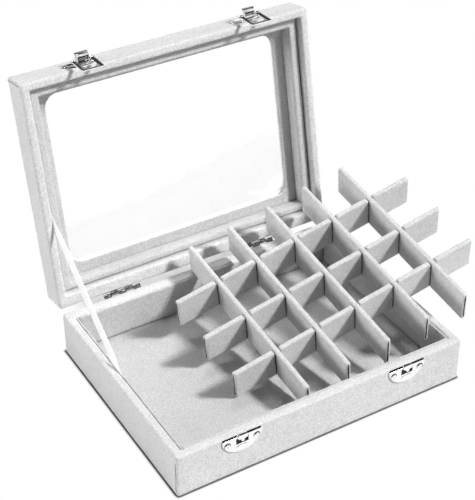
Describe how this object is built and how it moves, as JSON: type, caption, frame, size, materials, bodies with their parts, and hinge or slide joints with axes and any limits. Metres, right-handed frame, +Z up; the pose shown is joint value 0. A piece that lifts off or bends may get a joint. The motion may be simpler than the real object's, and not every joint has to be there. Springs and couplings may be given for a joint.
{
  "type": "jewelry display case",
  "caption": "Velvet-covered jewelry display case: hinged glass lid held by a ribbon stay, draw latches, and a loose lattice divider leaning in the open tray.",
  "frame": {"origin": "centre of the tray's underside, on the surface that the case stands on", "axes": "+X to the case's right, +Y to its back where the lid is hinged, +Z up"},
  "size_m": [0.2443, 0.2036, 0.1879],
  "materials": {
    "velvet_shell": "short pale grey velvet over board",
    "velvet_lining": "short pale grey velvet",
    "velvet_lid_lining": "short pale grey velvet",
    "velvet_divider": "short pale grey velvet over board",
    "fibre_board": "matte",
    "felt": "matte",
    "satin_ribbon": "satin",
    "chromed_steel": "polished",
    "window_glass": "polished"
  },
  "bodies": {
    "tray": {"tray_front_wall": "velvet_shell", "tray_back_wall": "velvet_shell", "tray_left_wall": "velvet_shell", "tray_right_wall": "velvet_shell", "base_board": "fibre_board", "base_cover": "felt", "floor_pad": "velvet_lining", "liner_front": "velvet_lining", "liner_back": "velvet_lining", "liner_left": "velvet_lining", "liner_right": "velvet_lining", "catch_plates": "chromed_steel", "catch_nails": "chromed_steel", "hinge_tray_leaves": "chromed_steel", "hinge_pins": "chromed_steel", "hinge_nails_tray": "chromed_steel", "stay_ribbon": "satin_ribbon", "stay_tab_tray": "satin_ribbon"},
    "lid": {"lid_front_rail": "velvet_shell", "lid_back_rail": "velvet_shell", "lid_left_rail": "velvet_shell", "lid_right_rail": "velvet_shell", "lid_top_frame": "velvet_shell", "lid_inner_front": "velvet_lid_lining", "lid_inner_back": "velvet_lid_lining", "lid_inner_left": "velvet_lid_lining", "lid_inner_right": "velvet_lid_lining", "window_panel": "velvet_lid_lining", "glass_pane": "window_glass", "latch_bases": "chromed_steel", "latch_pins": "chromed_steel", "latch_nails": "chromed_steel", "hinge_lid_leaves": "chromed_steel", "hinge_nails_lid": "chromed_steel", "stay_tab_lid": "satin_ribbon"},
    "divider": {"divider_board_1": "velvet_divider", "divider_board_2": "velvet_divider", "divider_board_3": "velvet_divider", "divider_board_4": "velvet_divider", "divider_board_5": "velvet_divider", "cross_board_a": "velvet_divider", "cross_board_b": "velvet_divider", "cross_board_c": "velvet_divider"},
    "left_lever": {"left_lever": "chromed_steel", "left_bail_pin": "chromed_steel"},
    "left_bail": {"left_bail": "chromed_steel"},
    "right_lever": {"right_lever": "chromed_steel", "right_bail_pin": "chromed_steel"},
    "right_bail": {"right_bail": "chromed_steel"}
  },
  "joints": [
    {"name": "lid_hinge", "type": "hinge", "parent": "tray", "child": "lid", "pos_m": [0, 0.0762, 0.031], "axis": [1, 0, 0], "range_deg": [0, 101.2], "deforming": ["stay_ribbon"]},
    {"name": "divider_lift_out", "type": "hinge", "parent": "tray", "child": "divider", "pos_m": [0, -0.105, 0.0115], "axis": [0.9958, 0.0141, 0.0908], "range_deg": [0, 169.22]},
    {"name": "left_lever_hinge", "type": "hinge", "parent": "lid", "child": "left_lever", "pos_m": [-0.058, 0.10998, 0.18049], "axis": [-1, 0, 0], "range_deg": [0, 85]},
    {"name": "left_bail_hinge", "type": "hinge", "parent": "left_lever", "child": "left_bail", "pos_m": [-0.058, 0.10901, 0.18333], "axis": [1, 0, 0], "range_deg": [0, 85]},
    {"name": "right_lever_hinge", "type": "hinge", "parent": "lid", "child": "right_lever", "pos_m": [0.058, 0.10998, 0.18049], "axis": [-1, 0, 0], "range_deg": [0, 85]},
    {"name": "right_bail_hinge", "type": "hinge", "parent": "right_lever", "child": "right_bail", "pos_m": [0.058, 0.10901, 0.18333], "axis": [1, 0, 0], "range_deg": [0, 85]}
  ],
  "couplings": [
    {"joint": "divider_lift_out", "follows": "lid_hinge", "ratio": 1.672},
    {"joint": "left_bail_hinge", "follows": "left_lever_hinge", "ratio": 1},
    {"joint": "right_bail_hinge", "follows": "right_lever_hinge", "ratio": 1}
  ]
}
